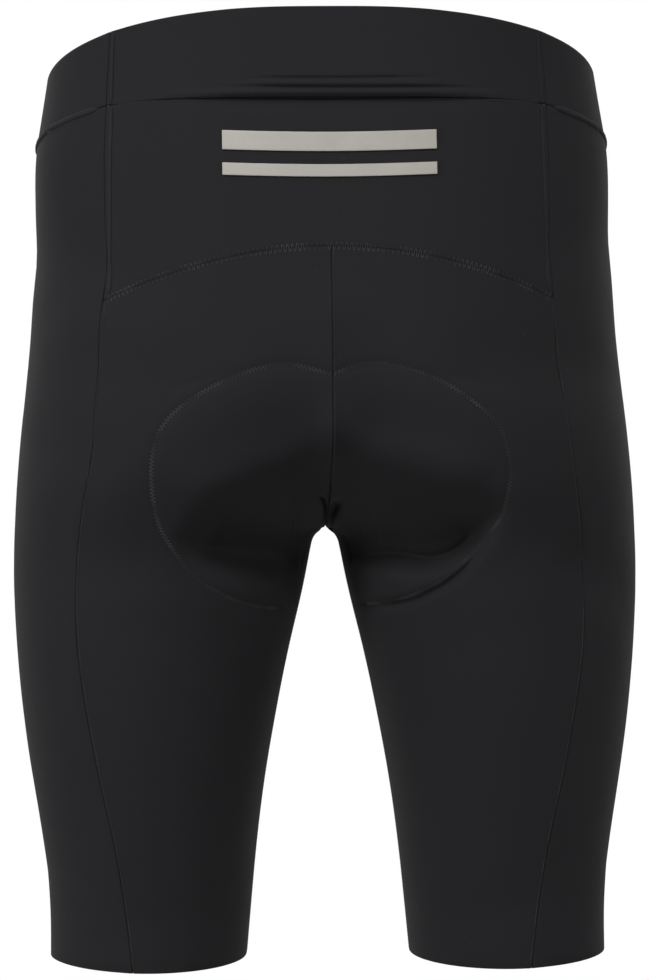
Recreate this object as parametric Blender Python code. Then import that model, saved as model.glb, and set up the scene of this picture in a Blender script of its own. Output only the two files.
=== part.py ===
"""Cycling shorts in black stretch knit, filled out as when worn and hollow, open at the waist and at both hems.

The back faces -Y and the wearer's left is -X. The origin is the centre of the waist, half way up the band
at the sides. Each cut and sewn piece is its own closed wall, and sewn edges stand a seam's width apart.
"""

import math

import bpy
import numpy as np

# Cloth thicknesses and the space left at a seam
CLOTH = 0.0014
BAND = 0.0022
TURNED_HEM = 0.0022
POCKET_LAYER = 0.0010
PAD = 0.0042
PAD_RIM = 0.0012
FILM = 0.0006
SEAM_HALF = 0.00017
LAYER_SPACE = 0.0004

# Crotch: its height, how far above it the centre seams still curve, and the arch between the legs
CROTCH_Z = -0.2412
CROTCH_RISE = 0.150
ARCH_HEIGHT = 0.008

# Waist edge, a tilted line: height at the sides and what the back and front add to it
TOP_SIDE = 0.0174
TOP_BACK = 0.0308
TOP_FRONT = 0.0250

# Yoke seam: height at the centre back and how it falls with the square of the distance from it
YOKE_Z = -0.0858
YOKE_FALL = 1.81
YOKE_FRONT_DROP = 0.022

# Pocket mouth under the back band, and the two reflective films
MOUTH_HALF_WIDTH = 0.092
MOUTH_DROP = 0.0018
MOUTH_DEPTH = 0.0012
BAG_RISE = 0.0050
FILM_HALF_WIDTH = 0.0590
FILM_SAG = 0.0016

# Grid of the cloth: spaces between rows and between columns
BAND_ROWS = 2
SEAT_ROWS = 12
BACK_COLUMNS = 12
FRONT_COLUMNS = 16
BACK_EDGE_COLUMN = 8
FRONT_EDGE_COLUMNS = 4
PAD_TOP_ROW = 4
PAD_LEG_ROWS = 5
FINE = 241

# The figure: height, half width, back depth, front depth, back seam's distance from the centre
FIGURE = (
    (0.050, 0.1554, 0.0985, 0.0985, 0.1198),
    (0.000, 0.1622, 0.1040, 0.1000, 0.1230),
    (-0.025, 0.1663, 0.1083, 0.1028, 0.1236),
    (-0.050, 0.1668, 0.1130, 0.1050, 0.1236),
    (-0.100, 0.1679, 0.1210, 0.1060, 0.1234),
    (-0.150, 0.1720, 0.1260, 0.1042, 0.1276),
    (-0.190, 0.1763, 0.1240, 0.1025, 0.1324),
    (-0.220, 0.1788, 0.1150, 0.1010, 0.1364),
    (-0.241, 0.1800, 0.1045, 0.1000, 0.1394),
    (-0.260, 0.1807, 0.0982, 0.0990, 0.1414),
    (-0.280, 0.1806, 0.0965, 0.0978, 0.1421),
    (-0.310, 0.1791, 0.0935, 0.0945, 0.1409),
    (-0.340, 0.1764, 0.0890, 0.0900, 0.1368),
    (-0.380, 0.1711, 0.0815, 0.0830, 0.1298),
    (-0.420, 0.1647, 0.0735, 0.0750, 0.1212),
    (-0.455, 0.1610, 0.0670, 0.0690, 0.1162),
    (-0.490, 0.1613, 0.0630, 0.0660, 0.1122),
)

# Above the crotch: height and how far out each side's fullest point stands
LOBES = (
    (0.050, 0.026),
    (0.000, 0.030),
    (-0.050, 0.036),
    (-0.100, 0.046),
    (-0.150, 0.062),
    (-0.190, 0.0775),
    (-0.220, 0.0885),
)

# Below the crotch: height and half the space between the legs
LEG_GAP = (
    (-0.2412, 0.0068),
    (-0.260, 0.0100),
    (-0.280, 0.0142),
    (-0.310, 0.0217),
    (-0.340, 0.0279),
    (-0.380, 0.0353),
    (-0.420, 0.0407),
    (-0.455, 0.0442),
    (-0.490, 0.0474),
)

# Band seam round the waist: angle from the inside of the leg by the back, and height
BAND_SEAM = (
    (90, -0.0020),
    (115, -0.0022),
    (138, -0.0045),
    (160, -0.0125),
    (180, -0.0212),
    (220, -0.0365),
    (270, -0.0450),
)

# Hem: angle and height
HEM_LINE = (
    (0, -0.4868),
    (90, -0.4898),
    (180, -0.4860),
    (270, -0.4870),
    (360, -0.4868),
)

# Yoke rows at the centre back: the films' edges, then one between them and the seam
YOKE_ROWS = (-0.0225, -0.0336, -0.0406, -0.0478, -0.0665)

# Leg rows: drop below the crotch at the inside leg and at the outside
LEG_ROWS = (
    (0.000, 0.000),
    (0.002, 0.008),
    (0.006, 0.017),
    (0.014, 0.027),
    (0.028, 0.038),
    (0.044, 0.049),
    (0.064, 0.068),
    (0.085, 0.088),
    (0.106, 0.109),
    (0.128, 0.130),
    (0.150, 0.152),
    (0.172, 0.174),
    (0.1925, 0.1940),
    (0.1945, 0.1960),
    (0.2200, 0.2200),
    (0.2456, 0.2448),
)
HEM_ROW = 13

# Where the films' and the pad's side edges run: row, distance from the centre at the back and at the front
SIDE_EDGE = (
    (0, 0.059, 0.045),
    (8, 0.059, 0.045),
    (10, 0.054, 0.042),
    (12, 0.046, 0.036),
    (13, 0.080, 0.050),
    (14, 0.093, 0.055),
    (15, 0.0985, 0.056),
    (16, 0.0995, 0.057),
    (18, 0.0975, 0.060),
    (20, 0.0937, 0.064),
    (21, 0.0900, 0.062),
    (22, 0.0848, 0.060),
    (23, 0.0768, 0.056),
    (24, 0.0640, 0.050),
    (25, 0.0440, 0.040),
    (27, 0.0620, 0.056),
    (29, 0.0710, 0.064),
    (31, 0.0750, 0.067),
    (35, 0.0780, 0.070),
)

KNIT_COLOUR = (0.0176, 0.0174, 0.0194, 1.0)
BAND_COLOUR = (0.0190, 0.0188, 0.0208, 1.0)
LAYER_COLOUR = (0.0130, 0.0128, 0.0145, 1.0)
PAD_COLOUR = (0.0850, 0.0870, 0.0920, 1.0)
FILM_COLOUR = (0.4130, 0.4020, 0.3650, 1.0)


def spline(knots, values):
    """A smooth curve through the values, with its end slopes carried on outside."""
    order = np.argsort(knots)
    x = np.asarray(knots, float)[order]
    y = np.asarray(values, float)[order]
    gap = np.diff(x)
    count = len(x)
    system = np.zeros((count, count))
    right = np.zeros(count)
    system[0, 0] = 1.0
    system[-1, -1] = 1.0
    for i in range(1, count - 1):
        system[i, i - 1] = gap[i - 1]
        system[i, i] = 2.0 * (gap[i - 1] + gap[i])
        system[i, i + 1] = gap[i]
        right[i] = 6.0 * ((y[i + 1] - y[i]) / gap[i] - (y[i] - y[i - 1]) / gap[i - 1])
    bend = np.linalg.solve(system, right)

    def value(at):
        at = np.asarray(at, float)
        inside = np.clip(at, x[0], x[-1])
        i = np.clip(np.searchsorted(x, inside) - 1, 0, count - 2)
        step = gap[i]
        low = x[i + 1] - inside
        high = inside - x[i]
        cubic = (bend[i] * low**3 + bend[i + 1] * high**3) / (6.0 * step)
        straight = (y[i] / step - bend[i] * step / 6.0) * low
        straight += (y[i + 1] / step - bend[i + 1] * step / 6.0) * high
        end_low = (y[1] - y[0]) / gap[0] - bend[1] * gap[0] / 6.0
        end_high = (y[-1] - y[-2]) / gap[-1] + bend[-2] * gap[-1] / 6.0
        beyond = np.minimum(at - x[0], 0.0) * end_low + np.maximum(at - x[-1], 0.0) * end_high
        return cubic + straight + beyond

    return value


def column(table, index):
    """One named column of a table."""
    return [row[index] for row in table]


HALF_WIDTH = spline(column(FIGURE, 0), column(FIGURE, 1))
BACK_DEPTH = spline(column(FIGURE, 0), column(FIGURE, 2))
FRONT_DEPTH = spline(column(FIGURE, 0), column(FIGURE, 3))
BACK_SEAM = spline(column(FIGURE, 0), column(FIGURE, 4))
GAP = spline(column(LEG_GAP, 0), column(LEG_GAP, 1))
BAND_SEAM_Z = spline(column(BAND_SEAM, 0), column(BAND_SEAM, 1))
HEM_Z = spline(column(HEM_LINE, 0), column(HEM_LINE, 1))


def crotch_lobe():
    """How far out the legs' middles stand at the crotch."""
    gap = float(GAP(CROTCH_Z))
    reach = math.hypot(float(HALF_WIDTH(CROTCH_Z)), gap)
    return 0.5 * (reach + gap)


LOBE = spline([*column(LOBES, 0), CROTCH_Z], [*column(LOBES, 1), crotch_lobe()])


def section(z):
    """Middle, half width, crease size and cleft of a side's lobe at a height."""
    z = np.asarray(z, float)
    width = HALF_WIDTH(z)
    above = np.clip((z - CROTCH_Z) / CROTCH_RISE, 0.0, 1.0)
    cleft = np.where(z >= CROTCH_Z, (1.0 - above) ** 2, 1.0)
    middle = LOBE(z)
    lean = middle * (1.0 + cleft)
    half = width**2 / (lean + np.sqrt(lean**2 + (1.0 - cleft**2) * width**2))
    crease = middle - half * cleft
    gap = GAP(z)
    down = np.clip((CROTCH_Z - z) / ARCH_HEIGHT, 0.0, 1.0)
    leg_crease = gap * (1.0 - down)
    reach = np.sqrt(width**2 + leg_crease**2)
    leg = z < CROTCH_Z
    middle = np.where(leg, 0.5 * (reach + gap), middle)
    half = np.where(leg, 0.5 * (reach - gap), half)
    crease = np.where(leg, leg_crease, crease)
    return middle, half, crease, cleft


def start_angle(z):
    """Angle at which a side's cloth begins, on the centre line or the inside leg."""
    return np.arccos(np.clip(section(z)[3], 0.0, 1.0))


def seam_angle(z):
    """Angle of the back seam."""
    middle, half, crease, _ = section(z)
    reach = np.sqrt(BACK_SEAM(z) ** 2 + crease**2)
    return np.arccos(np.clip((middle - reach) / half, -1.0, 1.0))


def surface(z, angle):
    """Points of the outside of the right half."""
    middle, half, crease, _ = section(z)
    reach = middle - half * np.cos(angle)
    x = np.sqrt(np.maximum(reach**2 - crease**2, 0.0))
    turn = np.sin(angle)
    y = np.where(turn >= 0.0, -BACK_DEPTH(z) * turn, -FRONT_DEPTH(z) * turn)
    return np.stack([x, y, np.broadcast_to(z, x.shape)], axis=-1)


def centre_heights(top, rows):
    """Heights down a centre seam to the crotch, evenly spaced along the cloth."""
    share = np.linspace(0.0, 1.0, 400)
    z = CROTCH_Z + (top - CROTCH_Z) * (1.0 - share) ** 2
    points = surface(z, start_angle(z))
    length = np.concatenate([[0.0], np.cumsum(np.linalg.norm(np.diff(points, axis=0), axis=1))])
    return np.interp(np.linspace(0.0, length[-1], rows + 1), length, z)


def top_line(angle):
    turn = np.sin(angle)
    return TOP_SIDE + np.where(turn >= 0.0, TOP_BACK, TOP_FRONT) * turn


def yoke_line(angle, x, front):
    if not front:
        return YOKE_Z - YOKE_FALL * x**2
    seam = float(BACK_SEAM(-0.113))
    low = YOKE_Z - YOKE_FALL * seam**2
    start = float(seam_angle(-0.113))
    share = np.clip((angle - start) / (1.5 * math.pi - start), 0.0, 1.0)
    return low - YOKE_FRONT_DROP * np.sin(0.5 * math.pi * share)


YOKE_SPACES = len(YOKE_ROWS) + 1
BAND_ROW = BAND_ROWS
YOKE_ROW = BAND_ROW + YOKE_SPACES
CROTCH_ROW = YOKE_ROW + SEAT_ROWS
LAST_ROW = CROTCH_ROW + len(LEG_ROWS) - 1
BACK_HEIGHTS = centre_heights(YOKE_Z, SEAT_ROWS)
FRONT_HEIGHTS = centre_heights(YOKE_Z - YOKE_FALL * float(BACK_SEAM(-0.113)) ** 2 - YOKE_FRONT_DROP, SEAT_ROWS)


def ease(share):
    return share * share * (3.0 - 2.0 * share)


def row_height(row, angle, x, share, front):
    """Height of a row at the given angles; share runs from its inner end to the back seam, or back again."""
    degrees = np.degrees(angle)
    band = BAND_SEAM_Z(degrees)
    yoke = yoke_line(angle, x, front)
    if row <= BAND_ROW:
        top = top_line(angle)
        return top + (band - top) * row / BAND_ROW
    if row < YOKE_ROW:
        z = YOKE_ROWS[row - BAND_ROW - 1]
        if not front:
            return z + FILM_SAG * (x / FILM_HALF_WIDTH) ** 2
        seam = float(BACK_SEAM(z))
        at_seam = z + FILM_SAG * (seam / FILM_HALF_WIDTH) ** 2
        top = float(BAND_SEAM_Z(np.degrees(seam_angle(z))))
        low = YOKE_Z - YOKE_FALL * seam**2
        return band + (yoke - band) * (at_seam - top) / (low - top)
    if row <= CROTCH_ROW:
        heights = FRONT_HEIGHTS if front else BACK_HEIGHTS
        at_end = (heights[row - YOKE_ROW] - heights[0]) / (heights[-1] - heights[0])
        at_seam = (row - YOKE_ROW) / SEAT_ROWS
        part = at_end + (at_seam - at_end) * ease(share)
        return yoke + (CROTCH_Z - yoke) * part
    inner, outer = LEG_ROWS[row - CROTCH_ROW]
    part = inner / LEG_ROWS[-1][0] * (1.0 - ease(share)) + outer / LEG_ROWS[-1][1] * ease(share)
    return CROTCH_Z + (HEM_Z(degrees) - CROTCH_Z) * part


def row_curve(row, front):
    """A row's cloth from the centre or inside leg to the back seam, or from that seam round the front."""
    pace = np.linspace(0.0, 1.0, FINE)
    share = 1.0 - pace if front else pace
    z = np.full(FINE, CROTCH_Z + 0.5 * (TOP_SIDE - CROTCH_Z) * (1.0 - row / CROTCH_ROW))
    x = np.linspace(0.0, 0.12, FINE)
    for _ in range(12):
        start = start_angle(z)
        seam = seam_angle(z)
        if front:
            end = 2.0 * math.pi - start
            angle = end - (end - seam) * (1.0 - pace) ** 2
        else:
            angle = start + (seam - start) * pace**2
        z = row_height(row, angle, x, share, front)
        x = surface(z, angle)[:, 0]
    return surface(z, angle)


def spread(curve, edge_x, inner, outer, front):
    """Columns of a row, even on each side of the one that follows an edge at edge_x."""
    length = np.concatenate([[0.0], np.cumsum(np.linalg.norm(np.diff(curve, axis=0), axis=1))])
    if front:
        widest = int(np.argmax(curve[:, 0]))
        at_edge = np.interp(-edge_x, -curve[widest:, 0], length[widest:])
    else:
        at_edge = np.interp(edge_x, curve[:, 0], length)
    first, second = (outer, inner) if front else (inner, outer)
    marks = np.concatenate([
        np.linspace(0.0, at_edge, first + 1)[:-1],
        np.linspace(at_edge, length[-1], second + 1),
    ])
    return np.stack([np.interp(marks, length, curve[:, axis]) for axis in range(3)], axis=-1)


def half_grid():
    """Outside points of the right half, rows from the waist down, columns from the back round to the front."""
    rows = []
    for row in range(LAST_ROW + 1):
        edges = []
        for table, front in ((1, False), (2, True)):
            edge = np.interp(row, column(SIDE_EDGE, 0), column(SIDE_EDGE, table))
            edges.append((edge, front))
        back = spread(
            row_curve(row, False), edges[0][0], BACK_EDGE_COLUMN, BACK_COLUMNS - BACK_EDGE_COLUMN, False
        )
        front = spread(
            row_curve(row, True), edges[1][0], FRONT_EDGE_COLUMNS, FRONT_COLUMNS - FRONT_EDGE_COLUMNS, True
        )
        front[0] = back[-1]
        rows.append(np.concatenate([back, front[1:]]))
    grid = np.array(rows)
    grid[: CROTCH_ROW + 1, (0, -1), 0] = 0.0
    grid[CROTCH_ROW:, (0, -1), 1] = 0.0
    return grid


def grid_normals(grid):
    """Outward directions of the cloth, shared by every piece that meets at a point."""
    normals = np.zeros_like(grid)
    across = grid[1:, 1:] - grid[:-1, :-1]
    other = grid[1:, :-1] - grid[:-1, 1:]
    faces = np.cross(other, across)
    for down in (0, 1):
        for along in (0, 1):
            rows = slice(down, down + faces.shape[0])
            columns = slice(along, along + faces.shape[1])
            normals[rows, columns] += faces
    legs = normals[CROTCH_ROW + 1 :, 0] + normals[CROTCH_ROW + 1 :, -1]
    normals[CROTCH_ROW + 1 :, 0] = legs
    normals[CROTCH_ROW + 1 :, -1] = legs
    normals[: CROTCH_ROW + 1, (0, -1), 0] = 0.0
    normals[CROTCH_ROW, 0] = (0.0, 0.0, -1.0)
    normals[CROTCH_ROW, -1] = (0.0, 0.0, -1.0)
    return normals / np.linalg.norm(normals, axis=2, keepdims=True)


def mirrored(points):
    return points * np.array([-1.0, 1.0, 1.0])


def halves(corners, turned):
    """A four-sided face cut corner to corner, the same way in every layer over it."""
    a, b, c, d = corners
    return [[a, b, d], [b, c, d]] if turned else [[a, b, c], [a, c, d]]


def material(name, colour, roughness, metallic=0.0):
    made = bpy.data.materials.new(name)
    made.use_nodes = True
    shader = made.node_tree.nodes["Principled BSDF"]
    shader.inputs["Base Color"].default_value = colour
    shader.inputs["Roughness"].default_value = roughness
    shader.inputs["Metallic"].default_value = metallic
    return made


def add_solid(name, points, faces, colour, roughness, metallic=0.0):
    """A named object from points and faces."""
    mesh = bpy.data.meshes.new(name)
    mesh.from_pydata([tuple(float(v) for v in point) for point in points], [], faces)
    mesh.validate()
    mesh.update()
    for polygon in mesh.polygons:
        polygon.use_smooth = True
    made = bpy.data.objects.new(name, mesh)
    bpy.context.scene.collection.objects.link(made)
    made.data.materials.append(material(name, colour, roughness, metallic))
    return made


def pulled_in(points):
    """Points of a sheet with each edge drawn half a seam's width inward."""
    moved = points.copy()
    for edge, inside in ((0, 1), (-1, -2)):
        step = points[inside] - points[edge]
        moved[edge] += SEAM_HALF * step / np.linalg.norm(step, axis=1, keepdims=True)
        step = points[:, inside] - points[:, edge]
        moved[:, edge] += SEAM_HALF * step / np.linalg.norm(step, axis=1, keepdims=True)
    return moved


def kept_apart(points, side, rear):
    """Points of one side's front or rear held half a seam's width from the planes it meets the others on."""
    if side:
        points[..., 0] = side * np.maximum(side * points[..., 0], SEAM_HALF)
    if rear:
        near = np.abs(points[..., 1]) < 0.01
        held = rear * np.maximum(rear * points[..., 1], SEAM_HALF)
        inner = near & (points[..., 2] < CROTCH_Z + 0.012) & (np.abs(points[..., 0]) < 0.075)
        points[..., 1] = np.where(inner, held, points[..., 1])
    return points


def sheet_solid(name, points, normals, near, far, colour, roughness, side=0, rear=0, flip=False):
    """A wall between two distances from the cloth's outside, over a grid of its points."""
    edge = pulled_in(points)
    outside = kept_apart(edge + normals * np.asarray(near)[..., None], side, rear)
    inside = kept_apart(edge + normals * np.asarray(far)[..., None], side, rear)
    rows, columns = points.shape[:2]
    count = rows * columns
    faces = []

    def at(row, along, layer):
        return layer * count + row * columns + along

    def quad(corners, turned=False):
        faces.extend(halves(corners[::-1] if flip else corners, turned != flip))

    for row in range(rows - 1):
        for along in range(columns - 1):
            square = [(row, along), (row + 1, along), (row + 1, along + 1), (row, along + 1)]
            quad([at(*corner, 0) for corner in square])
            quad([at(*corner, 1) for corner in square[::-1]], True)
    rim = [(0, along) for along in range(columns)]
    rim += [(row, columns - 1) for row in range(1, rows)]
    rim += [(rows - 1, along) for along in range(columns - 2, -1, -1)]
    rim += [(row, 0) for row in range(rows - 2, 0, -1)]
    for index, here in enumerate(rim):
        then = rim[(index + 1) % len(rim)]
        quad([at(*here, 0), at(*then, 0), at(*then, 1), at(*here, 1)])
    both = np.concatenate([outside.reshape(-1, 3), inside.reshape(-1, 3)])
    return add_solid(name, both, faces, colour, roughness)


def across_back(field, rows):
    """Both halves' back columns as one sheet, from the left seam to the right one."""
    half = field[rows, : BACK_COLUMNS + 1]
    return np.concatenate([mirrored(half[:, :0:-1]), half], axis=1)


def across_front(field, rows):
    """Both halves' columns from the right seam round the front to the left one."""
    half = field[rows, BACK_COLUMNS:]
    return np.concatenate([half, mirrored(half[:, -2::-1])], axis=1)


def build_band(grid, normals):
    rows = slice(0, BAND_ROW + 1)
    sheet_solid(
        "waistband_back", across_back(grid, rows), across_back(normals, rows), 0.0, -BAND, BAND_COLOUR, 0.85
    )
    sheet_solid(
        "waistband_front", across_front(grid, rows), across_front(normals, rows), 0.0, -BAND, BAND_COLOUR, 0.85
    )


def mouth_share(points):
    """How far the pocket mouth stands open along its edge."""
    away = np.clip(np.abs(points[0, :, 0]) / MOUTH_HALF_WIDTH, 0.0, 1.0)
    return (1.0 - away**2) ** 2


def build_pocket(grid, normals):
    rows = slice(BAND_ROW, YOKE_ROW + 1)
    points = across_back(grid, rows)
    outward = across_back(normals, rows)
    open_share = mouth_share(points)
    yoke = points.copy()
    down = points[1] - points[0]
    yoke[0] += MOUTH_DROP * open_share[:, None] * down / np.linalg.norm(down, axis=1, keepdims=True)
    sheet_solid("back_yoke", yoke, outward, 0.0, -CLOTH, KNIT_COLOUR, 0.9)
    bag = points.copy()
    bag[0] -= BAG_RISE * down / np.linalg.norm(down, axis=1, keepdims=True)
    depth = np.full(points.shape[:2], CLOTH + LAYER_SPACE)
    for row, share in ((0, 1.0), (1, 0.8), (2, 0.5), (3, 0.25)):
        depth[row] += (BAND - CLOTH + MOUTH_DEPTH * open_share) * share
    sheet_solid("pocket_bag", bag, outward, -depth, -depth - POCKET_LAYER, LAYER_COLOUR, 0.95)


def build_films(grid, normals):
    middle = BACK_COLUMNS
    columns = slice(middle - BACK_EDGE_COLUMN, middle + BACK_EDGE_COLUMN + 1)
    for name, first in (("reflective_stripe_wide", BAND_ROW + 1), ("reflective_stripe_narrow", BAND_ROW + 3)):
        rows = slice(first, first + 2)
        points = across_back(grid, rows)[:, columns]
        outward = across_back(normals, rows)[:, columns]
        sheet_solid(name, points, outward, LAYER_SPACE + FILM, LAYER_SPACE, FILM_COLOUR, 0.35)


def wall_depths(first, columns):
    """Thickness at each row from the given one down, more where the hem is turned up."""
    depth = np.full((LAST_ROW + 1 - first, columns), CLOTH)
    depth[CROTCH_ROW + HEM_ROW - first :] = TURNED_HEM
    return depth


def build_panels(grid, normals):
    for side, word in ((-1, "left"), (1, "right")):
        for first, columns, name, rear in (
            (YOKE_ROW, slice(0, BACK_COLUMNS + 1), "back_panel", -1),
            (BAND_ROW, slice(BACK_COLUMNS, None), "front_panel", 1),
        ):
            points = grid[first:, columns]
            outward = normals[first:, columns]
            if side < 0:
                points = mirrored(points)
                outward = mirrored(outward)
            sheet_solid(
                f"{name}_{word}", points, outward, 0.0, -wall_depths(first, points.shape[1]),
                KNIT_COLOUR, 0.9, side, rear, flip=side < 0,
            )


def build_pad(grid, normals):
    """The pad inside the seat: four quarters joined at the centre line and at the inside legs."""
    first = YOKE_ROW + PAD_TOP_ROW
    last = CROTCH_ROW + PAD_LEG_ROWS
    rows = slice(first, last + 1)
    keys = {}
    layers = ([], [])
    faces = []

    def point_index(place, direction, thickness):
        key = tuple(np.round(place * 1e7).astype(int))
        if key not in keys:
            keys[key] = len(layers[0])
            layers[0].append(place - direction * (CLOTH + LAYER_SPACE))
            layers[1].append(place - direction * (CLOTH + LAYER_SPACE + thickness))
        return keys[key]

    for side in (-1, 1):
        for columns in (slice(0, BACK_EDGE_COLUMN + 1), slice(-FRONT_EDGE_COLUMNS - 1, None)):
            points = grid[rows, columns] if side > 0 else mirrored(grid[rows, columns])
            outward = normals[rows, columns] if side > 0 else mirrored(normals[rows, columns])
            height, width = points.shape[:2]
            edge_column = width - 1 if columns.start == 0 else 0
            index = np.zeros((height, width), int)
            for row in range(height):
                for along in range(width):
                    from_edge = min(row, height - 1 - row, abs(along - edge_column))
                    thickness = PAD_RIM + (PAD - PAD_RIM) * min(1.0, from_edge / 2.0)
                    index[row, along] = point_index(points[row, along], outward[row, along], thickness)
            for row in range(height - 1):
                for along in range(width - 1):
                    square = [
                        int(index[row, along]),
                        int(index[row + 1, along]),
                        int(index[row + 1, along + 1]),
                        int(index[row, along + 1]),
                    ]
                    faces.extend(halves(square if side > 0 else square[::-1], side < 0))
    count = len(layers[0])
    used = set()
    for corners in faces:
        used.update(zip(corners, corners[1:] + corners[:1]))
    rim = [edge for edge in used if (edge[1], edge[0]) not in used]
    closed = list(faces)
    closed += [[corner + count for corner in corners[::-1]] for corners in faces]
    closed += [[there, here, here + count, there + count] for here, there in sorted(rim)]
    add_solid("seat_pad", layers[0] + layers[1], closed, PAD_COLOUR, 0.9)


def main():
    for old in list(bpy.data.objects):
        bpy.data.objects.remove(old, do_unlink=True)
    grid = half_grid()
    normals = grid_normals(grid)
    build_band(grid, normals)
    build_pocket(grid, normals)
    build_films(grid, normals)
    build_panels(grid, normals)
    build_pad(grid, normals)


main()
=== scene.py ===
"""Looks of a pair of black cycling shorts: knit panels, seams, stitching, a pocket, films and a pad."""
import logging
import math
from dataclasses import dataclass, field
from enum import Enum
from typing import Any, Callable, Iterable

import bmesh
import bpy
import numpy as np
from mathutils import Matrix, Vector
from mathutils.bvhtree import BVHTree


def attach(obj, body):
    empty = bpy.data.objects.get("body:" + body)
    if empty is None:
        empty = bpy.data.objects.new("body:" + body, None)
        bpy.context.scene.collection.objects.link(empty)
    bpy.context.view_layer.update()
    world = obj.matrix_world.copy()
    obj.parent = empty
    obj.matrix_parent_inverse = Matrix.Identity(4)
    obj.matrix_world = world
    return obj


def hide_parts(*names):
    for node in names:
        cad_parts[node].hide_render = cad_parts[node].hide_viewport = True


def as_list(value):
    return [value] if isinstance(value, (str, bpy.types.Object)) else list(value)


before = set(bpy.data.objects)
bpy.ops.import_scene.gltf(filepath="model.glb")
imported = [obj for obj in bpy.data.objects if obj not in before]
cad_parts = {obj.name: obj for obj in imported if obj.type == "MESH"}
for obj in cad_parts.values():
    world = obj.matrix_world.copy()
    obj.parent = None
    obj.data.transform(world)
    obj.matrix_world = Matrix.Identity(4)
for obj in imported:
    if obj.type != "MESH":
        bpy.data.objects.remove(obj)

LOG = logging.getLogger("shorts")
KNIT_MAP = "knit"
# Name of the mesh mark of the sharp creases, which paints shade into the cloth's colour
CREASE_SHADE_MARK = "crease"
SHARP_EDGE = math.radians(50.0)
SIDES = ((-1, "left"), (1, "right"))
# The Mix node's sockets for colours, by number because their names repeat
COLOUR_A, COLOUR_B, COLOUR_OUT = 6, 7, 2

Colour = tuple[float, float, float]
Flat = tuple[float, float]
# A socket to link, or a value to set
Source = Any
Values = dict[str | int, Source]


class Stitch(Enum):
    """How a thread runs along a seam."""

    ZIGZAG = "zigzag"
    LADDER = "ladder"
    RUNNING = "running"


class Facing(Enum):
    """The side of the shorts that a line is laid out on."""

    BACK = -1
    FRONT = 1


# Shader nodes


class Net:
    """A shader's node tree, with short ways to add and link its nodes."""

    def __init__(self, tree: bpy.types.NodeTree) -> None:
        """Takes in the tree."""
        self.tree = tree

    def fill(self, node: bpy.types.Node, values: Values) -> bpy.types.Node:
        """Fills a node's inputs.

        Args:
            node: The node.
            values: A socket to link or a value to set, by the input's name or number.

        Returns:
            The same node.
        """
        for label, value in values.items():
            if isinstance(value, bpy.types.NodeSocket):
                self.tree.links.new(value, node.inputs[label])
            elif value is not None:
                node.inputs[label].default_value = value
        return node

    def add(self, kind: str, values: Values | None = None) -> bpy.types.Node:
        """Adds a shader node of a kind and fills its inputs."""
        return self.fill(self.tree.nodes.new(f"ShaderNode{kind}"), values or {})

    def math(self, operation: str, first: Source, second: Source = None, clamp: bool = False) -> Source:
        """Adds a Math node.

        Args:
            operation: Blender's name for the operation.
            first: A socket or a number.
            second: A socket, a number, or None.
            clamp: Whether the result is held between 0 and 1.

        Returns:
            The node's output socket.
        """
        node = self.add("Math", {0: first, 1: second})
        node.operation = operation
        node.use_clamp = clamp
        return node.outputs[0]

    def humps(self, value: Source) -> Source:
        """A row of round humps, one to each whole number."""
        return self.math("ABSOLUTE", self.math("SINE", self.math("MULTIPLY", value, math.pi)))

    def noise(self, place: Source, scale: float, detail: float, roughness: float = 0.55) -> Source:
        """Adds a Noise texture and returns its value socket."""
        values = {"Vector": place, "Scale": scale, "Detail": detail, "Roughness": roughness}
        return self.add("TexNoise", values).outputs["Fac"]

    def mix(self, factor: Source, first: Source, second: Source) -> Source:
        """Mixes two colours or sockets and returns the colour socket."""
        node = self.add("Mix", {"Factor": factor})
        node.data_type = "RGBA"
        first, second = ((*value, 1.0) if isinstance(value, tuple) else value for value in (first, second))
        return self.fill(node, {COLOUR_A: first, COLOUR_B: second}).outputs[COLOUR_OUT]

    def group(self, name: str, maker: Callable[[], bpy.types.NodeTree], values: Values) -> Any:
        """Places a shared group, made the first time, and returns its outputs."""
        node = self.add("Group")
        node.node_tree = bpy.data.node_groups.get(name) or maker()
        return self.fill(node, values).outputs

    def bump(self, shader: bpy.types.Node, height: Source, strength: float, distance: float) -> None:
        """Gives a shader its relief."""
        node = self.add("Bump", {"Strength": strength, "Distance": distance, "Height": height})
        self.fill(shader, {"Normal": node.outputs["Normal"]})


def new_group(
    name: str, inputs: dict[str, float | None], outputs: Iterable[str]
) -> tuple[Net, Any, bpy.types.Node]:
    """Starts a shader node group.

    Args:
        name: The group's name.
        inputs: Each input's default value, or None for a vector.
        outputs: The names of its outputs, all of them values.

    Returns:
        The group's nodes, the sockets that come in, and the node that the results go to.
    """
    tree = bpy.data.node_groups.new(name, "ShaderNodeTree")
    for label, default in inputs.items():
        kind = "NodeSocketVector" if default is None else "NodeSocketFloat"
        socket = tree.interface.new_socket(label, in_out="INPUT", socket_type=kind)
        if default is not None:
            socket.default_value = default
    for label in outputs:
        tree.interface.new_socket(label, in_out="OUTPUT", socket_type="NodeSocketFloat")
    return Net(tree), tree.nodes.new("NodeGroupInput").outputs, tree.nodes.new("NodeGroupOutput")


def knit_loops_group() -> bpy.types.NodeTree:
    """Rows of small knitted loops, read from the cloth's own map in metres."""
    inputs = {"Place": None, "Wale": 0.0009, "Course": 0.0007}
    net, into, out = new_group("knit_loops", inputs, ("Height", "Shade"))
    apart = net.add("SeparateXYZ", {0: into["Place"]}).outputs
    ridge = net.humps(net.math("DIVIDE", apart["X"], into["Wale"]))
    up = net.math("DIVIDE", apart["Y"], into["Course"])
    loop = net.humps(net.math("ADD", up, net.math("MULTIPLY", ridge, 0.5)))
    height = net.math("MULTIPLY", net.math("ADD", net.math("MULTIPLY", ridge, 0.6), loop), 0.6)
    net.fill(out, {"Height": height, "Shade": net.math("MULTIPLY", ridge, loop, clamp=True)})
    return net.tree


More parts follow.
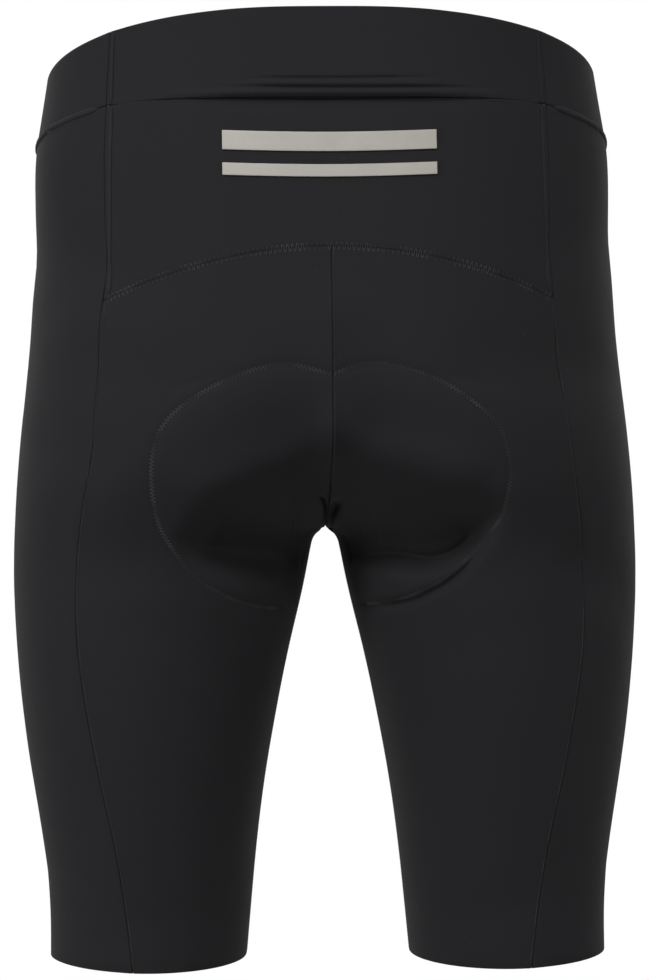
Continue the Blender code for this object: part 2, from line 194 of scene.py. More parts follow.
def cloth_wear_group() -> bpy.types.NodeTree:
    """Soft unevenness of dyed cloth, and a scatter of fine lint."""
    net, into, out = new_group("cloth_wear", {"Place": None}, ("Cloud", "Fuzz", "Lint"))
    place = into["Place"]
    lint = net.math("MULTIPLY", net.math("SUBTRACT", net.noise(place, 420.0, 1.0), 0.74), 9.0, clamp=True)
    cloud, fuzz = net.noise(place, 26.0, 3.0), net.noise(place, 900.0, 2.0, 0.7)
    net.fill(out, {"Cloud": cloud, "Fuzz": fuzz, "Lint": lint})
    return net.tree


def new_material(name: str) -> tuple[bpy.types.Material, Net, bpy.types.Node]:
    """Starts a material and returns it with its nodes and its Principled shader."""
    made = bpy.data.materials.new(name)
    made.use_nodes = True
    return made, Net(made.node_tree), made.node_tree.nodes["Principled BSDF"]


@dataclass(frozen=True)
class KnitFinish:
    """A knitted cloth."""

    name: str
    slot: str
    dark: Colour
    light: Colour
    lint: Colour = (0.05, 0.05, 0.052)
    # Painted shade: the colour that the cloth takes along the crease mark
    painted_crease_shade: Colour = (0.001, 0.001, 0.001)
    wale: float = 0.0005
    course: float = 0.0004
    relief: float = 0.00007
    roughness: tuple[float, float] = (0.72, 0.92)
    sheen: float = 0.03
    sheen_roughness: float = 0.4
    specular: float = 0.12

    def material(self) -> bpy.types.Material:
        """Builds the cloth's material."""
        made, net, shader = new_material(self.name)
        laid = net.add("UVMap")
        laid.uv_map = KNIT_MAP
        # The crease mark, for the painted shade in sharp creases
        crease = net.add("Attribute")
        crease.attribute_name = CREASE_SHADE_MARK
        sizes = {"Place": laid.outputs[0], "Wale": self.wale, "Course": self.course}
        loops = net.group("knit_loops", knit_loops_group, sizes)
        wear = net.group("cloth_wear", cloth_wear_group, {"Place": net.add("TexCoord").outputs["Object"]})
        shade = net.math("MULTIPLY", loops["Shade"], 0.45)
        shade = net.math("ADD", shade, net.math("MULTIPLY", wear["Cloud"], 0.35))
        shade = net.math("ADD", shade, net.math("MULTIPLY", wear["Fuzz"], 0.3), clamp=True)
        body = net.mix(shade, self.dark, self.light)
        worn = net.mix(net.math("MULTIPLY", wear["Lint"], 0.35), body, self.lint)
        smooth, rough = self.roughness
        gloss = net.add("MapRange", {"Value": wear["Cloud"], "To Min": smooth, "To Max": rough})
        values = {
            # Painted shade: the cloth goes near black along the crease mark
            "Base Color": net.mix(crease.outputs["Fac"], worn, self.painted_crease_shade),
            "Roughness": gloss.outputs[0],
            "Sheen Weight": self.sheen,
            "Sheen Roughness": self.sheen_roughness,
            "Specular IOR Level": self.specular,
        }
        net.fill(shader, values)
        height = net.math("ADD", loops["Height"], net.math("MULTIPLY", wear["Fuzz"], 0.8))
        net.bump(shader, height, 0.6, self.relief)
        return made


@dataclass(frozen=True)
class ThreadFinish:
    """A spun sewing thread."""

    name: str
    dark: Colour
    light: Colour
    slot: str = "knit"

    def material(self) -> bpy.types.Material:
        """Builds the thread's material."""
        made, net, shader = new_material(self.name)
        place = net.add("TexCoord").outputs["Object"]
        twist = net.noise(place, 2200.0, 1.0)
        worn = net.math("MULTIPLY", net.math("SUBTRACT", net.noise(place, 75.0, 1.0), 0.41), 5.0, clamp=True)
        fibre = net.math("ADD", net.math("MULTIPLY", twist, 0.5), 0.5)
        colour = net.mix(net.math("MULTIPLY", fibre, worn), self.dark, self.light)
        net.fill(shader, {"Base Color": colour, "Roughness": 0.55, "Specular IOR Level": 0.35})
        net.bump(shader, twist, 0.5, 0.00006)
        return made


@dataclass(frozen=True)
class FilmFinish:
    """A grey film of fine glass beads, pressed on to the cloth."""

    name: str = "reflective_bead_film"
    slot: str = "reflective_film"
    dark: Colour = (0.308, 0.298, 0.266)
    light: Colour = (0.402, 0.39, 0.351)

    def material(self) -> bpy.types.Material:
        """Builds the film's material."""
        made, net, shader = new_material(self.name)
        place = net.add("TexCoord").outputs["Object"]
        beads = net.add("TexVoronoi", {"Scale": 3200.0, "Vector": place}).outputs["Distance"]
        cloud = net.noise(place, 60.0, 4.0)
        blend = net.math("MULTIPLY", net.math("ADD", beads, cloud), 0.6, clamp=True)
        rough = net.math("ADD", net.math("MULTIPLY", cloud, 0.25), 0.32)
        colour = net.mix(blend, self.dark, self.light)
        net.fill(shader, {"Base Color": colour, "Roughness": rough, "Specular IOR Level": 0.4})
        net.bump(shader, beads, 0.35, 0.00008)
        return made


def finished_piece(
    name: str, mesh: bpy.types.Mesh, finish: KnitFinish | ThreadFinish | FilmFinish
) -> bpy.types.Object:
    """Dresses a mesh in its finish and sets it on the garment.

    Args:
        name: The piece's name.
        mesh: Its mesh.
        finish: Its finish, whose material is made the first time.

    Returns:
        The finished piece.
    """
    mesh.polygons.foreach_set("use_smooth", [True] * len(mesh.polygons))
    mesh.materials.clear()
    mesh.materials.append(bpy.data.materials.get(finish.name) or finish.material())
    piece = bpy.data.objects.new(name, mesh)
    bpy.context.scene.collection.objects.link(piece)
    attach(piece, "root")
    LOG.info("%s: %d faces", name, len(mesh.polygons))
    return piece


def shown_mesh(name: str, data: bpy.types.ID, levels: int = 0) -> bpy.types.Mesh:
    """Makes the mesh that Blender shows of a curve or of a mesh.

    Args:
        name: A name for the draft.
        data: The curve or mesh.
        levels: How often it is subdivided smoothly, with its corners kept.

    Returns:
        The new mesh.
    """
    draft = bpy.data.objects.new(name, data)
    bpy.context.scene.collection.objects.link(draft)
    if levels:
        smoothing = draft.modifiers.new("smooth", "SUBSURF")
        smoothing.levels = smoothing.render_levels = levels
        smoothing.boundary_smooth = "PRESERVE_CORNERS"
    mesh = bpy.data.meshes.new_from_object(draft.evaluated_get(bpy.context.evaluated_depsgraph_get()))
    bpy.data.objects.remove(draft)
    return mesh


def points_of(mesh: bpy.types.Mesh) -> np.ndarray:
    """The mesh's points, one to a row."""
    points = np.zeros(len(mesh.vertices) * 3)
    mesh.vertices.foreach_get("co", points)
    return points.reshape(-1, 3)


# Folds of the cloth


@dataclass(frozen=True)
class Fold:
    """A soft trough or ridge along a line laid out on one side, in metres from the centre of the waist.

    A through fold keeps its depth up to the inside leg and paints shade into the cloth's colour in its
    crease, and a tented one comes to a ridge. Under is the share of its width below the line. Each end fades
    over tip, a share of its length.
    """

    line: tuple[tuple[float, float], ...]
    width: float
    depth: float
    facing: Facing = Facing.BACK
    through: bool = False
    tented: bool = False
    under: float = 1.0
    tip: float = 0.3


def eased(share: np.ndarray) -> np.ndarray:
    """Holds shares between 0 and 1 and eases them at both ends."""
    share = np.clip(share, 0.0, 1.0)
    return share * share * (3.0 - 2.0 * share)


# Where the body parts into legs: the height, how far down it takes, and how far out a leg's middle is
FORK_TOP, FORK_DEPTH, LEG_MIDDLE = -0.16, 0.1, 0.095


def spine(points: np.ndarray) -> np.ndarray:
    """The middle of the body or leg at each point's height."""
    share = eased((points[:, 2] - FORK_TOP) / -FORK_DEPTH)
    middle = np.zeros_like(points)
    middle[:, 0] = np.sign(points[:, 0]) * LEG_MIDDLE * share
    middle[:, 2] = points[:, 2]
    return middle


def outward(points: np.ndarray) -> np.ndarray:
    """Level directions from the middle of the body or leg to each point."""
    away = points - spine(points)
    away[:, 0] *= np.clip(np.abs(points[:, 0]) / 0.045, 0.0, 1.0)
    return away / np.maximum(np.linalg.norm(away, axis=1, keepdims=True), 1e-6)


def lengths_along(rows: np.ndarray) -> np.ndarray:
    """The length of a line up to each of its points."""
    return np.concatenate([[0.0], np.cumsum(np.linalg.norm(np.diff(rows, axis=0), axis=1))])


def read_at(marks: np.ndarray, lengths: np.ndarray, rows: np.ndarray) -> np.ndarray:
    """The rows of numbers at some marks of length, blended from those on both sides."""
    return np.stack([np.interp(marks, lengths, column) for column in rows.T], axis=1)


def smooth_line(line: tuple[tuple[float, float], ...], count: int = 24) -> np.ndarray:
    """A smooth curve through a few points of a line, at an even spacing."""
    given = np.array(line, float)
    if len(given) > 2:
        padded = np.concatenate([[2 * given[0] - given[1]], given, [2 * given[-1] - given[-2]]])
        fine = []
        for i in range(len(given) - 1):
            a, b, c, d = padded[i : i + 4]
            square, cube = 2 * a - 5 * b + 4 * c - d, 3 * b - a - 3 * c + d
            for t in np.linspace(0.0, 1.0, 12, endpoint=False):
                fine.append(0.5 * (2 * b + (c - a) * t + square * t**2 + cube * t**3))
        given = np.array([*fine, given[-1]])
    lengths = lengths_along(given)
    return read_at(np.linspace(0.0, lengths[-1], count), lengths, given)


def reach_round(points: np.ndarray, facing: Facing) -> np.ndarray:
    """A fold's share at each point: it dies out at the inside leg and runs on round the hip."""
    ahead = points[:, 1] * facing.value
    inner = np.clip(ahead / 0.022, 0.0, 1.0) ** 1.5
    outer = eased((ahead + 0.04) / 0.06)
    hip = np.clip((np.abs(points[:, 0]) - 0.1) / 0.04, 0.0, 1.0)
    return inner * (1.0 - hip) + outer * hip


def fold_moves(points: np.ndarray, folds: Iterable[Fold]) -> tuple[np.ndarray, np.ndarray]:
    """Works out the folds of the cloth.

    Args:
        points: The cloth's points.
        folds: The folds across it.

    Returns:
        How far each point moves outward, and how deep it lies in a sharp crease, from 0 to 1, which
        paints shade into the cloth's colour.
    """
    flat = points[:, (0, 2)]
    moves = np.zeros(len(points))
    painted_crease_shade = np.zeros(len(points))
    reach = {facing: reach_round(points, facing) for facing in Facing}
    for fold in folds:
        line = smooth_line(fold.line)
        low, high = line.min(0) - 4 * fold.width, line.max(0) + 4 * fold.width
        share_here = (points[:, 1] * fold.facing.value > 0.0) * 1.0 if fold.through else reach[fold.facing]
        index = np.flatnonzero((share_here > 0.0) & (flat > low).all(axis=1) & (flat < high).all(axis=1))
        spots = flat[index]
        best = np.full(len(index), 1e9)
        along = np.zeros(len(index))
        above = np.ones(len(index), bool)
        for k in range(len(line) - 1):
            start, step = line[k], line[k + 1] - line[k]
            share = np.clip(((spots - start) @ step) / (step @ step), 0.0, 1.0)
            apart = spots - start
            distance = np.linalg.norm(apart - share[:, None] * step, axis=1)
            closer = distance < best
            above[closer] = (step[0] * apart[:, 1] - step[1] * apart[:, 0] > 0.0)[closer]
            best[closer] = distance[closer]
            along[closer] = (k + share[closer]) / (len(line) - 1)
        taper = eased(np.minimum(along, 1.0 - along) / fold.tip)
        off = best / np.where(above, fold.width, fold.width * fold.under)
        form = np.clip(1.0 - off, 0.0, 1.0) ** 2 if fold.tented else np.exp(-(off**2))
        moves[index] += fold.depth * taper * form * share_here[index]
        # Painted shade: a through fold marks its crease, which darkens the cloth's colour
        if fold.through:
            painted_crease_shade[index] = np.maximum(painted_crease_shade[index], taper * form)
    return moves, painted_crease_shade


# The pad lifts the cloth over a shoulder inside its outline, and the stitching pulls it in
PAD_LIFT, PAD_SHOULDER = 0.0006, 0.012
STITCH_PULL, STITCH_REACH = 0.0007, 0.0024
# The pad's outline on the back, from the notch at the centre seam out and round to the inside leg
PAD_LEFT = (
    (0.0, -0.1563), (-0.0135, -0.1528), (-0.0268, -0.1505), (-0.0487, -0.1549), (-0.0636, -0.1615),
    (-0.0817, -0.1724), (-0.0926, -0.1834), (-0.0975, -0.1954), (-0.0992, -0.2097), (-0.0975, -0.2283),
    (-0.0937, -0.2409), (-0.0855, -0.2546), (-0.0762, -0.2656), (-0.0669, -0.2727), (-0.0526, -0.2804),
    (-0.04, -0.284), (-0.0285, -0.2855),
)
PAD_RIGHT = (
    (0.0, -0.1563), (0.009, -0.153), (0.0186, -0.1505), (0.0334, -0.1516), (0.0537, -0.1576),
    (0.068, -0.1653), (0.0827, -0.1763), (0.0921, -0.1878), (0.0964, -0.2009), (0.0975, -0.2119),
    (0.0948, -0.23), (0.0893, -0.2409), (0.0789, -0.2535), (0.0663, -0.2667), (0.0499, -0.2765),
    (0.0351, -0.282), (0.0225, -0.284),
)


def pad_relief(points: np.ndarray) -> np.ndarray:
    """The pad under the seat lifts the cloth inside its outline and the stitching draws it in."""
    outline = np.concatenate([smooth_line(PAD_LEFT, 60)[::-1], smooth_line(PAD_RIGHT, 60)[1:]])
    ring = np.concatenate([outline, [[0.0, -0.285], outline[0]]])
    spots = points[:, (0, 2)]
    inside = np.zeros(len(points), bool)
    for a, b in zip(ring[:-1], ring[1:]):
        crosses = (a[1] > spots[:, 1]) != (b[1] > spots[:, 1])
        with np.errstate(divide="ignore", invalid="ignore"):
            at = a[0] + (spots[:, 1] - a[1]) * (b[0] - a[0]) / (b[1] - a[1])
        inside ^= crosses & (spots[:, 0] < at)
    best = np.full(len(points), 1e9)
    for a, b in zip(outline[:-1], outline[1:]):
        step = b - a
        share = np.clip(((spots - a) @ step) / (step @ step), 0.0, 1.0)
        best = np.minimum(best, np.linalg.norm(spots - a - share[:, None] * step, axis=1))
    lift = np.where(inside, PAD_LIFT * np.clip(best / PAD_SHOULDER, 0.0, 1.0) ** 0.7, 0.0)
    drawn = -STITCH_PULL * np.exp(-((best / STITCH_REACH) ** 2))
    return (lift + drawn) * np.clip((-points[:, 1] - 0.006) / 0.02, 0.0, 1.0)


# Cut pieces


@dataclass(frozen=True)
class CreaseWindow:
    """A stretch of the seat, in metres, whose cloth is cut finer to take its creases."""

    left: float
    right: float
    low: float
    high: float
    back_of: float
    cuts: int

    def refine(self, cloth: bmesh.types.BMesh, among: Iterable[bmesh.types.BMEdge]) -> None:
        """Cuts those of some edges that lie wholly inside."""
        inside = [edge for edge in among if all(self.holds(corner.co) for corner in edge.verts)]
        bmesh.ops.subdivide_edges(cloth, edges=inside, cuts=self.cuts, use_grid_fill=True)

    def holds(self, place: Vector) -> bool:
        """Whether a place lies inside."""
        return self.left < place.x < self.right and self.low < place.z < self.high and place.y < self.back_of


UNDER_SEAT_WINDOW = CreaseWindow(-0.066, 0.088, -0.264, -0.212, -0.002, cuts=1)
CROTCH_WINDOW = CreaseWindow(-0.009, 0.009, -0.242, -0.21, 0.0, cuts=2)


@dataclass
class Panel:
    """One cut piece of cloth, a thin shell on its solid's form."""

    node: str
    finish: KnitFinish | FilmFinish
    flat: Flat
    area: float
    levels: int = 3
    row_cuts: int = 0
    edge: float = 0.00045
    folds: tuple[Fold, ...] = ()
    padded: bool = False
    lifted: bool = False
    creased: bool = False
    dressed: bpy.types.Object | None = None
    trims: list[bpy.types.Object] = field(default_factory=list)

    def faces_of_cloth(self, rough: bmesh.types.BMesh) -> list[list[bmesh.types.BMFace]]:
        """Sorts the faces into fields bounded by sharp edges.

        Args:
            rough: The merged mesh of the solid.

        Returns:
            The fields, the largest first: the outer face, the inner face, then the cut edge.
        """
        left = set(rough.faces)
        fields = []
        while left:
            reached = [left.pop()]
            for face in reached:
                for edge in face.edges:
                    if len(edge.link_faces) == 2 and edge.calc_face_angle() < SHARP_EDGE:
                        for other in edge.link_faces:
                            if other in left:
                                left.remove(other)
                                reached.append(other)
            fields.append(reached)
        return sorted(fields, key=lambda found: -sum(face.calc_area() for face in found))

    def shell(self) -> bpy.types.Mesh:
        """Smooths the two faces of the solid, joins them round the cut edge and rounds it.

        Returns:
            The smooth mesh, before its folds.
        """
        rough = bmesh.new()
        rough.from_mesh(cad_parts[self.node].data)
        bmesh.ops.remove_doubles(rough, verts=rough.verts, dist=0.00002)
        rim = [face for found in self.faces_of_cloth(rough)[2:] for face in found]
        bmesh.ops.delete(rough, geom=rim, context="FACES")
        bmesh.ops.join_triangles(
            rough,
            faces=rough.faces,
            angle_face_threshold=math.radians(28.0),
            angle_shape_threshold=math.radians(70.0),
        )
        if self.row_cuts:
            upright = [
                edge for edge in rough.edges
                if abs(edge.verts[0].co.z - edge.verts[1].co.z) > 0.8 * edge.calc_length()
            ]
            bmesh.ops.subdivide_edges(rough, edges=upright, cuts=self.row_cuts, use_grid_fill=True)
        draft = bpy.data.meshes.new(f"{self.node}_cut")
        rough.to_mesh(draft)
        rough.free()
        smooth = shown_mesh(f"{self.node}_cut", draft, self.levels)
        cloth = bmesh.new()
        cloth.from_mesh(smooth)
        for spare in (draft, smooth):
            bpy.data.meshes.remove(spare)
        face_edges = cloth.edges[:]
        bmesh.ops.bridge_loops(cloth, edges=[edge for edge in cloth.edges if edge.is_boundary])
        if self.creased:
            UNDER_SEAT_WINDOW.refine(cloth, face_edges)
            CROTCH_WINDOW.refine(cloth, cloth.edges)
        bmesh.ops.recalc_face_normals(cloth, faces=cloth.faces)
        rims = [edge for edge in cloth.edges if edge.calc_face_angle(0.0) > SHARP_EDGE]
        bmesh.ops.bevel(
            cloth, geom=rims, offset=self.edge, offset_type="OFFSET", segments=2, profile=0.5,
            affect="EDGES", material=-1,
        )
        mesh = bpy.data.meshes.new(f"{self.node}_cloth")
        cloth.to_mesh(mesh)
        cloth.free()
        return mesh

    def shape(self, mesh: bpy.types.Mesh) -> None:
        """Moves the shell's points for its folds and for what lies under it."""
        points = points_of(mesh)
        moves, painted_crease_shade = fold_moves(points, self.folds)
        # Painted shade: the crease mark darkens the cloth's colour in sharp creases, but not on the pad
        crease_shade_layer = mesh.attributes.new(CREASE_SHADE_MARK, "FLOAT", "POINT")
        crease_shade_layer.data.foreach_set("value", np.clip(painted_crease_shade * 1.3, 0.0, 1.0) * (0.0 if self.padded else 1.0))
        if self.lifted:
            moves += pad_relief(points)
        points += outward(points) * moves[:, None]
        mesh.vertices.foreach_set("co", points.ravel())

    def lay_map(self, mesh: bpy.types.Mesh) -> None:
        """Gives the cloth a map in metres: round the body or leg, and up."""
        points = points_of(mesh)
        away = points - spine(points)
        radius = 0.11
        round_it = np.arctan2(away[:, 0], -away[:, 1]) * radius
        corner = np.zeros(len(mesh.loops), np.int64)
        mesh.loops.foreach_get("vertex_index", corner)
        across = round_it[corner]
        starts = np.zeros(len(mesh.polygons), np.int64)
        mesh.polygons.foreach_get("loop_start", starts)
        face = np.repeat(np.arange(len(starts)), np.diff(np.append(starts, len(corner))))
        most = np.full(len(starts), -1e9)
        np.maximum.at(most, face, across)
        across = np.where(most[face] - across > math.pi * radius, across + 2 * math.pi * radius, across)
        layer = mesh.uv_layers.new(name=KNIT_MAP)
        layer.data.foreach_set("uv", np.stack([across, points[corner, 2]], axis=1).ravel())

    def build(self) -> bpy.types.Object:
        """Builds, shapes and finishes the piece.

        Returns:
            The finished piece.
        """
        mesh = self.shell()
        self.shape(mesh)
        self.lay_map(mesh)
        self.dressed = finished_piece(f"{self.node}_cloth", mesh, self.finish)
        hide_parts(self.node)
        return self.dressed

    def declare(self, rests_on: Iterable[str]) -> None:
        """Turns the sewing on the piece into a list, but for the pad, and does nothing more with it."""
        if self.padded:
            return
        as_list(self.trims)


# Seams and stitches

# Half the step between two lines of sight that pass on both sides of a seam
ASTRIDE = 0.0007
UPRIGHT, LEVEL, INWARD = Vector((0.0, 0.0, ASTRIDE)), Vector((ASTRIDE, 0.0, 0.0)), Vector((0.0, ASTRIDE, 0.0))
# Where lines of sight start, outside the garment
OUTSIDE = 0.6


@dataclass(frozen=True)
class Spot:
    """A place on the outside of the cloth, and the way out from it."""

    place: Vector
    out: Vector


class Figure:
    """The outside of the whole garment, for laying seams and stitches on."""

    def __init__(self, pieces: Iterable[bpy.types.Object]) -> None:
        """Takes in the finished panels."""
        corners: list[Vector] = []
        faces: list[list[int]] = []
        for piece in pieces:
            start = len(corners)
            corners.extend(v.co.copy() for v in piece.data.vertices)
            faces.extend([start + i for i in polygon.vertices] for polygon in piece.data.polygons)
        self.tree = BVHTree.FromPolygons(corners, faces)

    def strike(self, start: Vector, aim: Vector, astride: Vector) -> Spot | None:
        """Finds the cloth along a line of sight, as the middle of two that pass on both sides of a seam.

        Args:
            start: Where the line starts, outside the garment.
            aim: The way it goes.
            astride: Half the step between the two lines.

        Returns:
            The place, or None where there is no cloth.
        """
        hits = [self.tree.ray_cast(start + sign * astride, aim) for sign in (-1.0, 1.0)]
        found = [hit for hit in hits if hit[0] is not None]
        if not found:
            return None
        nearest = min(hit[3] for hit in found)
        found = [hit for hit in found if hit[3] < nearest + 0.003]
        place = sum((hit[0] for hit in found), Vector()) / len(found)
        wide = [self.tree.ray_cast(start + sign * astride * 6.0, aim) for sign in (-1.0, 1.0)]
        wide = [hit for hit in wide if hit[0] is not None and abs(hit[3] - nearest) < 0.006] or found
        out = sum((hit[1] if hit[1].dot(aim) < 0 else -hit[1] for hit in wide), Vector())
        return Spot(place, out.normalized())

    def behind(self, x: float, z: float, astride: Vector) -> Spot | None:
        """The cloth seen from behind at a place."""
        return self.strike(Vector((x, -OUTSIDE, z)), Vector((0.0, 1.0, 0.0)), astride)

    def before(self, x: float, z: float, astride: Vector) -> Spot | None:
        """The cloth seen from in front at a place."""
        return self.strike(Vector((x, OUTSIDE, z)), Vector((0.0, -1.0, 0.0)), astride)

    def between(self, side: int, y: float, z: float, astride: Vector) -> Spot | None:
        """The cloth of one leg seen from between the legs."""
        return self.strike(Vector((0.0, y, z)), Vector((float(side), 0.0, 0.0)), astride)

    def nearest(self, place: Vector, away: Vector) -> Spot:
        """The cloth nearest to a place, and the way out there."""
        found, out, _, _ = self.tree.ray_cast(place + away * 0.006, -away, 0.012)
        if found is None:
            found, out, _, _ = self.tree.find_nearest(place)
        return Spot(found, out if out.dot(away) > 0 else -out)

    def round(self, angle: float, z: float, astride: Vector) -> Spot | None:
        """The cloth round the waist, by its angle from the centre back towards the right."""
        away = Vector((math.sin(angle), -math.cos(angle), 0.0))
        return self.strike(away * OUTSIDE + Vector((0.0, 0.0, z)), -away, astride)


@dataclass
class Route:
    """A line of spots along the cloth, spaced evenly."""

    spots: list[Spot]

    def rows(self) -> tuple[np.ndarray, np.ndarray]:
        """The places and the ways out, one to a row."""
        return np.array([s.place[:] for s in self.spots]), np.array([s.out[:] for s in self.spots])

    @staticmethod
    def of_rows(places: np.ndarray, outs: np.ndarray) -> "Route":
        """Makes a route of rows of places and ways out."""
        return Route([Spot(Vector(place), Vector(out).normalized()) for place, out in zip(places, outs)])

    def evened(self, pitch: float) -> "Route":
        """The same line with spots at a pitch, in metres."""
        places, outs = self.rows()
        lengths = lengths_along(places)
        marks = np.linspace(0.0, lengths[-1], max(2, round(lengths[-1] / pitch) + 1))
        return Route.of_rows(read_at(marks, lengths, places), read_at(marks, lengths, outs))

    def smoothed(self, turns: int = 6) -> "Route":
        """The same line with small jumps taken out."""
        places, outs = self.rows()
        for _ in range(turns):
            for rows in (places, outs):
                rows[1:-1] = 0.25 * rows[:-2] + 0.5 * rows[1:-1] + 0.25 * rows[2:]
        return Route.of_rows(places, outs)

    def ahead(self, index: int) -> Vector:
        """The way on along the line at a spot."""
        return self.spots[min(index + 1, len(self.spots) - 1)].place - self.spots[max(index - 1, 0)].place

    def at(self, index: int, aside: float, lift: float) -> Vector:
        """A place beside a spot and off the cloth."""
        here = self.spots[index]
        side = here.out.cross(self.ahead(index)).normalized()
        return here.place + side * aside + here.out * lift


def route_of(spots: Iterable[Spot | None], pitch: float = 0.001) -> Route:
    """Makes a route of the spots that were found."""
    return Route([spot for spot in spots if spot is not None]).evened(pitch).smoothed()


@dataclass(frozen=True)
class SewnRow:
    """One row of stitching."""

    name: str
    stitch: Stitch
    width: float
    pitch: float
    thread: float
    finish: ThreadFinish
    aside: float = 0.0
    lift: float = 0.00008

    def path(self, route: Route, figure: Figure) -> list[Vector]:
        """The thread's path over the cloth.

        Args:
            route: The seam that it follows.
            figure: The cloth that it lies on.

        Returns:
            The points of the thread.
        """
        quarter = route.evened(self.pitch / 4.0)
        half = 0.5 * self.width
        aside, lift = {
            Stitch.ZIGZAG: ((-half, 0.0, half, 0.0), (-0.00016, 0.00014, -0.00016, 0.00014)),
            Stitch.LADDER: ((-half, half, half, -half), (0.0001, 0.0001, -0.00006, -0.00006)),
            Stitch.RUNNING: ((0.0, 0.0, 0.0, 0.0), (-0.00035, 0.00012, 0.00016, 0.00012)),
        }[self.stitch]
        points = []
        for i, spot in enumerate(quarter.spots):
            under = figure.nearest(quarter.at(i, self.aside + aside[i % 4], 0.0), spot.out)
            points.append(under.place + spot.out * (self.lift + lift[i % 4]))
        return points

    def build(self, route: Route, figure: Figure) -> bpy.types.Object:
        """Makes the thread as a round cord.

        Args:
            route: The seam that it follows.
            figure: The cloth that it lies on.

        Returns:
            The stitching as one piece.
        """
        points = self.path(route, figure)
        curve = bpy.data.curves.new(self.name, "CURVE")
        curve.dimensions = "3D"
        curve.bevel_depth = self.thread
        curve.bevel_resolution = 1
        curve.use_fill_caps = True
        line = curve.splines.new("POLY")
        line.points.add(len(points) - 1)
        for point, place in zip(line.points, points):
            point.co = (*place, 1.0)
        return finished_piece(self.name, shown_mesh(self.name, curve), self.finish)


# A ridge's rings are this far apart, its ends keep this share of its size, and its first rings keep their
# place where a ridge turns in over an edge
RING_PITCH, BLUNT_END, FREE_RINGS = 0.0022, 0.2, 3


@dataclass(frozen=True)
class SeamRidge:
    """A seam's turned cloth, standing as a low rounded ridge."""

    name: str
    half_width: float
    height: float
    finish: KnitFinish
    aside: float = 0.0
    drift: float = 0.0
    sink: float = 0.0
    sides: int = 10
    end: float = 3.0

    def build(self, route: Route, figure: Figure | None = None) -> bpy.types.Object:
        """Draws a flattened ring along the seam.

        Args:
            route: The seam that it follows.
            figure: The cloth that it lies on, for a ridge beside the seam.

        Returns:
            The ridge as one piece.
        """
        line = route.evened(RING_PITCH)
        body = bmesh.new()
        frames = []
        for index, spot in enumerate(line.spots):
            ahead = line.ahead(index).normalized()
            side = spot.out.cross(ahead).normalized()
            up = ahead.cross(side).normalized()
            from_end = min(index, len(line.spots) - 1 - index)
            taper = min(1.0, BLUNT_END + from_end / self.end)
            axes = (side * self.half_width * taper, up * self.height * taper, ahead)
            turn = Matrix(axes).transposed().to_4x4()
            place = spot.place + side * (self.aside + self.drift * index / len(line.spots))
            if figure is not None and index > FREE_RINGS:
                place = figure.nearest(place, spot.out).place
            turn.translation = place - spot.out * self.sink
            frames.append(turn)
        bmesh.ops.create_circle(body, cap_ends=True, segments=self.sides, radius=1.0, matrix=frames[0])
        ring = body.edges[:]
        for before, after in zip(frames[:-1], frames[1:]):
            grown = bmesh.ops.extrude_edge_only(body, edges=ring)["geom"]
            corners = [g for g in grown if isinstance(g, bmesh.types.BMVert)]
            ring = [g for g in grown if isinstance(g, bmesh.types.BMEdge)]
            bmesh.ops.transform(body, matrix=after @ before.inverted(), verts=corners)
        bmesh.ops.contextual_create(body, geom=ring)
        bmesh.ops.recalc_face_normals(body, faces=body.faces)
        map_layer = body.loops.layers.uv.new(KNIT_MAP)
        for face in body.faces:
            for loop in face.loops:
                loop[map_layer].uv = (loop.vert.co.x - loop.vert.co.y, loop.vert.co.z)
        mesh = bpy.data.meshes.new(self.name)
        body.to_mesh(mesh)
        body.free()
        return finished_piece(self.name, mesh, self.finish)


# Finishes and lines of this garment

BODY_KNIT = KnitFinish("black_body_knit", "knit", (0.0105, 0.0103, 0.0116), (0.0185, 0.0182, 0.0202))
BAND_KNIT = KnitFinish(
    "black_band_knit", "band_knit", (0.011, 0.0108, 0.0122), (0.019, 0.0187, 0.0208), wale=0.0004
)
TURNED_KNIT = KnitFinish("black_turned_knit", "knit", (0.0135, 0.0132, 0.0148), (0.024, 0.0236, 0.0262))
POCKET_KNIT = KnitFinish("black_pocket_knit", "pocket_knit", (0.008, 0.0078, 0.0088), (0.014, 0.0138, 0.0152))
SEAM_KNIT = KnitFinish("black_seam_allowance", "knit", (0.0045, 0.0044, 0.005), (0.0085, 0.0083, 0.0092))
PAD_KNIT = KnitFinish(
    "brushed_pad_knit", "pad_knit", (0.055, 0.056, 0.06), (0.105, 0.107, 0.114), wale=0.0022, course=0.0022,
    relief=0.0003, sheen=0.25,
)
BODY_THREAD = ThreadFinish("black_thread", (0.016, 0.0158, 0.0175), (0.066, 0.065, 0.07))
DARK_THREAD = ThreadFinish("dark_thread", (0.01, 0.0098, 0.011), (0.046, 0.0455, 0.049))
FILM = FilmFinish()

# The long seam at the back: its height and its distance from the centre
BACK_SEAM = (
    (0.048, 0.12), (0.0355, 0.1205), (0.0, 0.123), (-0.05, 0.1236), (-0.1, 0.1234), (-0.15, 0.1276),
    (-0.19, 0.1324), (-0.22, 0.1364), (-0.241, 0.1394), (-0.26, 0.1414), (-0.28, 0.1421),
    (-0.31, 0.1409), (-0.34, 0.1368), (-0.38, 0.1298), (-0.42, 0.1212), (-0.455, 0.1162), (-0.49, 0.1122),
)
# The band's lower edge: the turn in degrees from the centre back, and the height
BAND_LINE = (
    (0, -0.002), (25, -0.0022), (48, -0.0045), (70, -0.0125), (90, -0.0212), (130, -0.0365), (180, -0.045),
)
# Half the waist's width and half its depth
WAIST_HALF = (0.166, 0.104)


def yoke_height(x: float) -> float:
    """Height of the yoke's seam at a distance from the centre back."""
    return -0.0858 - 1.81 * x * x


